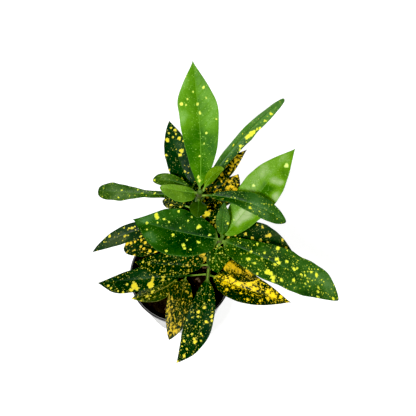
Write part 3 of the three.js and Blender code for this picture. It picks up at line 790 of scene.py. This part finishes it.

# What is particular to a leaf. "marks" are its large spots (picture x and y, size in mm), and one that is
# drawn out has the picture x and y of its other end too. The lighter and darker areas are painted highlights,
# sheen and shade, a painted shadow of one leaf on another among them, and "gilt" areas have more or less gold
# (both: picture x and y, size in mm, how much). "shade" and "warm" make its greens lighter and yellower, and
# "shade", which sets how light each leaf is, holds partly its own colour and partly painted light and shade.
# "look" holds the values that differ from its kind's.
leafPaint = {
    "a01": dict(
        look=dict(spot=(0.6, 0.6, 0.08, 1), fine=0.4),
        marks=[(203.5, 87.5, 1.4), (206, 97.8, 1), (197.5, 104, 1.5), (200, 113, 1.6), (187.5, 99, 1),
            (181.5, 104, 1.6), (186, 105, 1.1), (193, 92, 1), (206.5, 133, 1.2), (204, 143.5, 1.1),
            (200, 156, 1.2), (198.5, 177, 1.4), (199.5, 181, 1.8), (216.5, 119, 1), (185.5, 76.5, 1)],
        paintedLight=[(184, 118, 9, 0.8), (184, 82, 9, 0.8), (191, 66, 8, 0.5), (213, 112, 12, 0.5),
            (204, 95, 12, 0.3), (192, 150, 12, -0.5), (205, 150, 12, -0.2), (197, 172, 10, -0.3),
            (192, 128, 8, -0.3)],
    ),
    "a02": dict(
        shade=2, warm=1.15, look=dict(pale=(0.036, 0.078, 0.032, 1), sheen=0.25),
        marks=[(246.5, 138, 1.9, 254, 132), (252, 133, 2.4), (257, 129, 1.2), (271, 113.5, 1.6),
            (265, 121, 1.4), (260, 128, 1.6), (233.5, 145, 1.4), (240.5, 146, 1.6), (240, 150, 1.2),
            (226.5, 161, 1.2)],
        paintedLight=[(236, 137, 8, 0.9), (252, 123, 8, 0.8), (268, 112, 8, 0.8), (228, 148, 7, 0.7),
            (280, 103, 7, 0.4), (240, 157, 9, -0.4), (258, 131, 6, -0.4)],
    ),
    "a03": dict(shade=0.95, warm=1.4, paintedLight=[(222, 169, 6, 0.5), (208, 182, 6, 0.1), (214, 171, 5, 0.2)]),
    "a04": dict(
        warm=1.3, look=dict(sheen=0.2),
        paintedLight=[(166, 186, 8, 0.5), (180, 182, 7, 0.5), (178, 192, 7, 0.2), (190, 194, 6, -0.2)],
    ),
    "a05": dict(
        shade=1.1, warm=1.4, marks=[(154.5, 180, 1.2)],
        paintedLight=[(160, 176, 7, 0.4), (168, 174, 7, 0.3)],
    ),
    "a06": dict(
        shade=0.75, warm=1.2,
        marks=[(121.5, 190, 0.9), (137.5, 190, 1), (118.5, 197.5, 1), (142, 193.5, 0.8), (155, 193, 0.8)],
        paintedLight=[(108, 188, 9, 0.6), (118, 196, 9, 1.0), (132, 195, 7, 0.7), (148, 195.5, 7, 0.6)],
    ),
    "a07": dict(
        shade=0.9, warm=0.9,
        marks=[(250, 207.5, 1.5), (259.5, 211.5, 1), (231, 197.5, 0.8), (235, 198, 0.9), (264, 204, 0.7)],
        paintedLight=[(255, 210, 9, 0.8), (270, 214, 9, 0.7), (281, 219, 6, 0.6), (262, 202, 8, 0.2),
            (235, 203, 8, 0.4), (235, 195, 9, -0.3)],
    ),
    "a08": dict(shade=1, warm=1.5, look=dict(fine=0.1, middle=0.0)),
    "a09": dict(
        shade=1.3, warm=0.95, look=dict(fine=0.35, middle=0.2),
        marks=[(181.5, 151, 2.2), (180, 155, 1.8), (167.5, 140, 2.3), (179, 138.5, 1.9), (183.5, 141, 1.2),
            (173, 137, 1.2), (166, 155, 1.4), (185, 171.5, 1.2), (182, 179, 1.6), (167.5, 171, 1.4),
            (175, 130, 1.6), (171, 128, 1.3), (169, 133, 1.2), (176, 134, 1)],
        paintedLight=[(182, 145, 7, 0.6), (175, 150, 7, 0.3)],
    ),
    "a10": dict(
        look=dict(spot=(0.85, 0.56, 0.02, 1), grain=3.2, sheen=0.15, fine=0.2, middle=0.2),
        marks=[(232, 166, 2), (236, 160, 1.8), (229, 173, 1.6), (222, 175, 1.8), (239, 156, 1.4),
            (243, 152, 1.2)],
        gilt=[(236, 160, 9, 0.3)],
    ),
    "a11": dict(
        look=dict(spot=(0.85, 0.56, 0.02, 1), grain=3.2, sheen=0.15, fine=0.2, middle=0.2),
        marks=[(235, 190, 3.2), (232, 187, 2.2), (228, 188, 2.2), (229, 181, 2), (219, 182.5, 2.2),
            (236.5, 176.5, 1.8), (224, 184, 1.6), (217, 190, 1.2)],
        gilt=[(232, 186, 8, 0.25)],
    ),
    "a12": dict(marks=[(171, 205, 1.6), (180.5, 207, 1.3), (180, 200, 1)], look=dict(speckle=0.05)),
    "a13": dict(
        look=dict(fine=0.2, middle=0.2, speckle=0.0, grain=2.8),
        marks=[(207, 213.5, 3.2), (204, 216.5, 2.4), (210, 210, 2), (217.5, 203, 3), (213, 222, 1.6),
            (216, 226, 2), (211, 222, 1.2), (215, 217, 1)],
        gilt=[(213, 222, 8, 0.1)],
    ),
    "a14": dict(
        shade=1.1, warm=1.15, look=dict(fine=0.2, middle=0.35, sheen=0.15),
        marks=[(109.5, 236, 1.6), (125, 236, 1.8), (128, 235.5, 1), (124, 228, 1), (129, 228, 1.2),
            (132, 228, 1.4), (135, 226.5, 1), (141, 236.5, 1.4), (104, 242, 0.9), (106, 242, 0.8)],
        paintedLight=[(118, 236, 10, 0.9), (108, 243, 9, 0.8), (126, 239, 8, 0.5), (140, 231, 8, 0.1)],
    ),
    "a15": dict(
        look=dict(spot=(0.75, 0.5, 0.015, 1), streak=1.3),
        marks=[(127, 243.5, 2.4), (131, 243, 1.8), (135, 241.5, 1.6), (141.5, 240, 1.4), (145, 243, 1.8),
            (141, 246.5, 1.8), (144, 249, 1.8), (149.5, 251, 2), (155.5, 252.5, 1.8), (134, 257.5, 1.6),
            (156.5, 256.5, 1.3), (148, 253.5, 1.3), (134.5, 250, 1.2), (128, 251, 1), (151, 244, 1.2)],
    ),
    "a18": dict(
        look=dict(speckle=0.13, streak=1.8, spot=(0.5, 0.35, 0.02, 1), fleck=(0.2, 0.17, 0.025, 1)),
        paintedLight=[(180, 275, 10, 0.6), (186, 290, 9, 0.4)],
        gilt=[(168, 298, 6, 0.3), (168, 313, 7, 0.3), (174, 330, 9, 0.45), (176, 305, 6, 0.1),
            (186, 312, 7, 0.1)],
    ),
    "a19": dict(
        look=dict(light=(0.018, 0.045, 0.005, 1), rib=(0.3, 0.28, 0.04, 1), speckle=0.05),
        marks=[(152, 292, 1.8), (147, 296, 1.6), (133, 299, 1.6)],
    ),
    "b01": dict(
        shade=1.1, warm=1.15, look=dict(fine=0.35, middle=0.12, pale=(0.2, 0.32, 0.13, 1)),
        marks=[(286.5, 165.5, 2.2), (253.5, 185.5, 1.6), (234, 220, 1)],
        paintedLight=[(262, 168, 14, 0.7), (285, 158, 10, 0.5), (250, 180, 12, 0.5), (273, 181, 5, 1.2),
            (281, 183, 4, 1.0), (246, 214, 7, 2.2), (238, 221, 6, 1.5), (275, 196, 6, 1.3),
            (270, 189, 7, -0.9),
            (285, 178, 8, -0.3), (262, 192, 4, -0.4)],
    ),
    "b02": dict(
        shade=1.6, warm=1.2, look=dict(sheen=0.2),
        marks=[(228, 223.5, 1.4)],
        paintedLight=[(218, 215, 5, 0.7), (226, 218, 5, 0.4)],
    ),
    "b03": dict(
        warm=0.85, look=dict(fine=0.3, middle=0.09, fleck=(0.24, 0.4, 0.06, 1)),
        marks=[(156, 214.5, 2, 157.5, 217.5), (164, 219, 1.4), (157.5, 222.5, 1.1), (169, 222, 1.2),
            (147, 223, 1.6), (147, 229.5, 1.2), (173, 235, 1.7), (199, 226.5, 2), (197.5, 228, 1.4),
            (180, 228, 1), (188, 221, 1.2), (178.5, 211.5, 1.5), (187, 240, 1.1), (183.5, 245, 1.9),
            (184.5, 248.5, 1.5), (198.5, 242, 1.9), (190.5, 249.5, 1.2), (166, 251, 1.5), (209.5, 235, 1.4),
            (192, 217, 1)],
        paintedLight=[(150, 217, 9, 0.6), (142, 220, 7, 0.6), (149, 234, 5, 1.1), (154, 239, 5, 0.9),
            (160, 214, 9, 0.4), (172, 212, 8, 0.3), (180, 238, 14, -0.5), (205, 236, 12, -0.5),
            (186, 250, 9, -0.3), (183, 222, 9, 0.2)],
    ),
    "b04": dict(
        shade=0.95, look=dict(fine=0.5, middle=0.5),
        marks=[(267.5, 271.5, 3), (270, 273, 2.4), (273, 277, 2.8), (273.5, 281, 2), (275, 264.5, 2),
            (279, 262.5, 2), (277, 259, 2), (286.5, 261.5, 1.8), (278, 248.5, 2), (251, 252, 1.8),
            (248.5, 259, 2.2), (264.5, 253, 1.3), (257.5, 243.5, 1.2), (254.5, 263, 1.4), (262, 258.5, 1.4),
            (281.5, 280, 2), (293.5, 280, 2), (316.5, 275, 2), (311.5, 272, 1.4), (305, 275.5, 1.3),
            (294, 269, 1.8), (308, 281.5, 1.4), (305.5, 284, 1.3), (318.5, 287.5, 1.3), (318, 291.5, 1.6),
            (317.5, 296.5, 1.2), (333.5, 298.5, 1.8), (257.5, 273.5, 1.4), (297, 268.5, 1.4),
            (301.5, 274.5, 1.2)],
        paintedLight=[(320, 275, 16, 0.7), (330, 290, 10, 0.7), (300, 262, 10, 0.4), (255, 262, 10, 0.2),
            (290, 286, 10, 0.4)],
    ),
    "b05": dict(
        shade=1.2, warm=1.4, look=dict(fine=0.3, middle=0.1, spot=(0.56, 0.42, 0.025, 1)),
        marks=[(257, 225, 1.2), (262.5, 227, 1.7), (234.5, 234.5, 1.7), (245.5, 234, 1.6),
            (228.5, 237.5, 1.4), (252.5, 238, 1.6), (260.5, 240, 1.8), (269.5, 235, 2.4), (266.5, 236, 1.6),
            (268, 242, 1.3), (282.5, 240, 1.8), (286, 248, 1.4)],
        paintedLight=[(277, 235, 7, 0.7), (262, 226, 7, 0.3), (287, 245, 6, 0.5)],
    ),
    "b06": dict(
        shade=0.7, warm=1.05, look=dict(sheen=0.03, speckle=0.1, streak=1.6, spot=(0.42, 0.38, 0.04, 1)),
        marks=[(213.5, 247.5, 1.2), (217.5, 246.5, 1), (213.5, 258, 1), (220, 253, 1.1), (222.5, 252.5, 0.9)],
    ),
    "b07": dict(
        look=dict(speckle=0.06, fleck=(0.2, 0.2, 0.02, 1), fine=0.4),
        marks=[(225, 282, 3.4), (232, 279, 3), (238, 284, 3.2), (244, 280, 3), (249, 284, 3),
            (254, 289, 2.4), (268, 291, 2.6), (273, 296, 3), (268, 298, 2), (227, 289.5, 2), (241, 293, 1.6),
            (233, 287.5, 2), (261, 287, 1.6), (281, 297, 2.2), (247.5, 299.5, 1.6), (260, 301, 1.6),
            (214, 277, 2)],
        paintedLight=[(218, 290, 9, 0.5)],
        gilt=[(226, 281, 7, 0.45), (236, 282, 8, 0.45), (247, 283, 8, 0.45), (256, 289, 7, 0.35),
            (272, 295, 8, 0.5), (216, 275, 5, 0.4), (258, 278, 7, 0.2), (286, 300, 5, 0.3),
            (238, 299, 9, -0.2)],
    ),
    "b08": dict(
        look=dict(speckle=0.15, spot=(0.64, 0.4, 0.014, 1)),
        marks=[(228, 261, 2.6), (233, 267, 3), (226, 266, 2), (240, 271, 2.5), (247, 271, 2),
            (213, 267, 2.8)],
        # the gilt areas with negative amounts take the gold away as painted shade
        gilt=[(229, 264, 6, 0.7), (237, 269, 5, 0.6), (249, 273, 5, 0.6), (215, 267, 6, 0.6),
            (233, 256, 5, -0.8), (240, 264, 4, -0.7)],
    ),
    "b09": dict(
        shade=1.1, warm=0.9, look=dict(sheen=0.03),
        marks=[(198.5, 312, 2), (198, 316.5, 1.2), (204.5, 307.5, 1.8), (206, 321.5, 1.6), (200, 327, 1),
            (192, 334, 1.3), (188, 335.5, 1.2), (201, 334, 1.5), (195, 342, 2.2), (194, 339, 1.6),
            (184, 341, 1.5), (201, 340.5, 1.2), (184, 356, 2), (177.5, 361.5, 1.6), (211.5, 317, 1.6),
            (212, 320.5, 1.4), (187, 349, 1.3), (204, 303.5, 1), (187, 320, 1)],
    ),
    "b10": dict(
        shade=1.1, warm=0.95, look=dict(pale=(0.02, 0.055, 0.016, 1), sheen=0.05, fine=0.45, middle=0.35),
        marks=[(134, 286, 3.4), (136.5, 288, 2.6), (131, 290, 2.2), (133.5, 282.5, 1.6), (150.5, 285, 3.6),
            (153, 277.5, 1.4, 152, 282), (163, 276.5, 2.2), (163, 280, 1.8), (157.5, 267.5, 2.2),
            (157, 270.5, 1.6), (180, 271, 1.7), (143, 267.5, 1.4), (127, 284.5, 1.6), (123, 292.5, 1.6),
            (108, 286, 1.6), (111, 288, 1.4), (118, 291, 1.2), (169, 279, 1.2)],
        paintedLight=[(144, 278, 7, 0.9)],
    ),
    "b11": dict(
        look=dict(middle=0.8, fine=0.5, sheen=0.04),
        marks=[(143, 262, 1.2), (149, 264, 1.4), (155, 260, 1)],
    ),
    "b12": dict(
        shade=1.6, look=dict(middle=0.7, spot=(0.62, 0.42, 0.03, 1)),
        marks=[(202.5, 254, 3.4), (205.5, 259, 2.8), (197, 259, 1.2), (195.5, 267, 1.2), (187.5, 265, 1.2)],
    ),
}


leafSurface = {
    "patch": 14,  # size of the lighter and darker patches, mm
    "crowd": 11,  # size of the areas where small spots stand closer
    "fineCell": 1.4,
    "middleCell": 2.5,
    "torn": (2.2, 2.0),  # size and strength of the raggedness of the spots
    "vein": 0.16,  # how clearly the side veins show
    "relief": 0.00022,  # metres
}


def spotLayer(place, size, filled, largest):  # spots in a share of cells of this size
    distance, chance = place.add("TexVoronoi", {"voronoi_dimensions": "2D"},
                                 {"Vector": place, "Scale": 1 / size}, out=("Distance", "Color"))
    luck = chance.add("SeparateColor", {}, {0: chance}, out=0)
    radius = rise(luck, 1 - filled, 1.15) * largest
    return rise(radius - distance, -0.02, 0.05)


def leafMaterial(name, look, seed):
    material, start, shader = newMaterial("leaf" + name.upper(), Specular_IOR_Level=look["sheen"])
    place, share, marks = [saved(start, field, "Vector") for field in ("leafPlace", "leafShare", "marks")]
    # the painted highlights, sheen and shade placed on the leaf, and its golden areas
    lighter, gilt = saved(start, "paintedLight"), saved(start, "gilt")
    along, across = split(place, (0, 1))
    u, x, under = split(share, (0, 1, 2))
    spread = shift(place, seed * 61.0, seed * 37.0)
    ragged = stretch(warp(spread, *leafSurface["torn"]), 1 / look["streak"], 1)
    patches = clouds(spread, leafSurface["patch"], 3)
    crumbs = clouds(ragged, 1.1, 3, 0.7)
    # side veins run out and bend forward from the midrib
    path = (along - abs(across) * (0.4 + 0.5 * abs(x))) / leafMesh["veinStep"]
    path += clouds(spread, 9, 1) * 0.4 + rise(across, -0.01, 0.01) * 0.5
    line = abs(path.maths("FRACT", path) - 0.5) * 2
    vein = (1 - rise(line, 0.02, 0.16)) * (1 - rise(abs(x), 0.4, 0.9)) * rise(u, 0.0, 0.08)
    middle = 1 - rise(abs(across), 0.18, 0.6)
    # green of the blade: its own patches and grain, lightened and darkened by painted highlights and shade,
    # and turned to the painted sheen where lightest
    tone = 0.5 + (patches - 0.5) * 2 + lighter + (crumbs - 0.5) * 1.3
    green = blend(tone, look["deep"], look["light"])
    green = blend(tone - 1, green, look["pale"])
    green = blend(vein * leafSurface["vein"], green, look["rib"])
    green = blend(rise(abs(x), 0.92, 1.0) * 0.2, green, look["rib"])
    # fine flecks, then spots of yellow, brightest in the middle of the large ones
    crowd = rise(clouds(spread, leafSurface["crowd"], 2), 0.25, 0.55)
    flecks = spotLayer(ragged, leafSurface["fineCell"], look["fine"], 0.42) * crowd
    green = blend(flecks * 0.7, green, look["fleck"])
    small = spotLayer(shift(ragged, 9, 4), leafSurface["middleCell"], look["middle"], 0.4) * crowd
    depth, size = split(marks, (0, 1))
    depth = depth - 0.1 + (clouds(ragged, 2.4, 3, 0.6) - 0.5) * size * 1.9 + (crumbs - 0.5) * 1.6
    if look["speckle"] is not None:
        mottle = clouds(ragged, look["grain"], 4, 0.65) + 0.26 * (gilt + look["speckle"])
        depth = either(depth, (mottle - 0.63) * 12)
    spots = either(small * 0.85, rise(depth, -0.1, 0.12)) * rise(u, -0.02, 0.03)
    gold = blend(rise(depth, -0.2, 1.2), blend(0.25 + 0.5 * small, look["fleck"], look["spot"]), look["spot"])
    colour = blend(spots, green, gold)
    colour = blend(middle * rise(u, -0.02, 0.02) * (0.7 - 0.6 * u), colour, look["rib"])
    colour = blend(1 - rise(u, -0.02, 0.05), colour, stalkColour)
    colour = blend(under * (0.3 + 0.25 * patches), colour, underColour)
    height = clouds(spread, 3.2, 2) * 0.7 + (vein + middle * 0.5) * (under * 2 - 1) + crumbs * 0.3
    plug(start, shader, Base_Color=colour, Roughness=look["roughness"] + 0.12 * crumbs + 0.12 * under,
         Normal=bump(height, leafSurface["relief"]))
    return material


bark = stemMaterial()
for name, stem in stems.items():
    makeStem(name, stem, [leaf["start"] for key, leaf in leafRows.items() if key[0] == name], bark)
print("stems made")


def tinted(look, shade=1.0, warm=1.0):  # the same greens, lighter and yellower
    greens = {tone: (look[tone][0] * shade * warm, look[tone][1] * shade, look[tone][2] * shade, 1)
              for tone in ("deep", "light", "pale")}
    return {**look, **greens}


for number, (name, leaf) in enumerate(leafRows.items()):
    paint = leafPaint.get(name, {})
    look = {**leafLooks[leaf["kind"]], **paint.get("look", {})}
    look = tinted(look, paint.get("shade", 1), paint.get("warm", 1))
    seed = number + 1
    piece = makeLeaf(name, leaf, paint, leafMaterial(name, look, seed), seed)
    finish(piece, "leaf_" + name)
print("leaves made:", len(leafRows))

soil = {
    "edge": 76.5,
    "crown": 78.5,
    "levelTo": 20,  # the crown is level out to here
    "halfway": 50,  # height of the ring between foot and top
    "gap": 0.3,  # between the soil and the pot
    "sides": 84,
    "rings": 26,
    "lumps": 0.9,
    "crumbs": 230,
    "crumbReach": 45.5,
    "smallShare": 0.85,  # of the crumbs
    "smallCrumb": (0.5, 1.5),
    "largeCrumb": (1.4, 2.3),
    "crumbShape": ((0.8, 1.5), (0.7, 1.1), (0.35, 0.7)),  # length, breadth and height for its size
    "dark": (0.004, 0.0036, 0.003, 1),
    "brown": (0.018, 0.014, 0.01, 1),
    "chip": (0.16, 0.1, 0.055, 1),
    "chipsPerMetre": 420,
}


def soilMaterial():
    material, start, shader = newMaterial("pottingSoil", Specular_IOR_Level=0.1)
    place = start.add("TexCoord", out="Object")
    grains = clouds(place, 0.0013, 5, 0.75)
    clods = clouds(place, 0.006, 4, 0.7)
    chips = place.add("TexVoronoi", {}, {"Vector": place, "Scale": soil["chipsPerMetre"]}, out="Color")
    pick = chips.add("SeparateColor", {}, {0: chips}, out=0)
    tone = blend(rise(grains * 0.6 + clods * 0.4, 0.35, 0.7), soil["dark"], soil["brown"])
    tone = blend(rise(pick, 0.93, 0.97) * 0.5, tone, soil["chip"])
    plug(start, shader, Base_Color=tone, Roughness=0.75 + 0.25 * grains, Normal=bump(grains + clods, 0.0011))
    return material


def soilTop(x, y):  # height of the soil's surface, mm
    reach = math.hypot(x, y)
    edge = insideRadius(soil["edge"]) - soil["gap"]
    base = soil["crown"] - (soil["crown"] - soil["edge"]) * smooth(soil["levelTo"], edge, reach)
    bumps = noise.noise(Vector((x, y, 3)) * 0.16) + 0.6 * noise.noise(Vector((x, y, 9)) * 0.45)
    return base - 0.5 + soil["lumps"] * bumps * 0.5


def makeSoil():
    foot, half = pot["floor"] + soil["gap"], soil["halfway"]
    edge = insideRadius(soil["edge"]) - soil["gap"]
    rings = [(Vector((0, 0, z)) * mm, (insideRadius(z) - soil["gap"]) * mm) for z in (foot, half)]
    for k in range(soil["rings"]):
        share = (1 - k / soil["rings"]) ** 0.9
        rings.append((Vector((0, 0, soil["edge"])) * mm, max(edge * share, 0.4) * mm))
    piece = drawRings(rings, soil["sides"])
    settle(piece, "pottingMix")
    for vertex in piece.data.vertices:
        if vertex.co.z > (half + 1) * mm:
            vertex.co.z = soilTop(vertex.co.x / mm, vertex.co.y / mm) * mm
    material = soilMaterial()
    piece.data.materials.append(material)
    finish(piece, "soil")
    clearChoice()
    bpy.ops.mesh.primitive_ico_sphere_add(subdivisions=1, radius=1)
    crumb = bpy.context.object
    copies = []
    for k in range(soil["crumbs"]):
        reach, turn = soil["crumbReach"] * math.sqrt(random.random()), random.uniform(0, 2 * math.pi)
        x, y = reach * math.cos(turn), reach * math.sin(turn)
        kind = "smallCrumb" if random.random() < soil["smallShare"] else "largeCrumb"
        size = random.uniform(*soil[kind])
        copy = bpy.data.objects.new("crumb", crumb.data.copy())
        bpy.context.collection.objects.link(copy)
        spin = Euler([random.uniform(0, 6.28) for _ in range(3)])
        shape = [size * random.uniform(low, high) for low, high in soil["crumbShape"]]
        for vertex in copy.data.vertices:
            co = vertex.co * (1 + 0.35 * noise.noise(vertex.co * 1.7 + Vector((k, 0, 0))))
            co = Vector([a * b for a, b in zip(co, shape)])
            co.rotate(spin)
            vertex.co = (co + Vector((x, y, soilTop(x, y) + 0.1 * size))) * mm
        copies.append(copy)
    bpy.data.objects.remove(crumb)
    clearChoice()
    for copy in copies:
        copy.select_set(True)
    bpy.context.view_layer.objects.active = copies[0]
    bpy.ops.object.join()
    crumbs = settle(bpy.context.object, "soilCrumbs", smoothAngle=25)
    crumbs.data.materials.append(material)
    finish(crumbs, "soil")


random.seed(7)
makeSoil()
print("soil made")
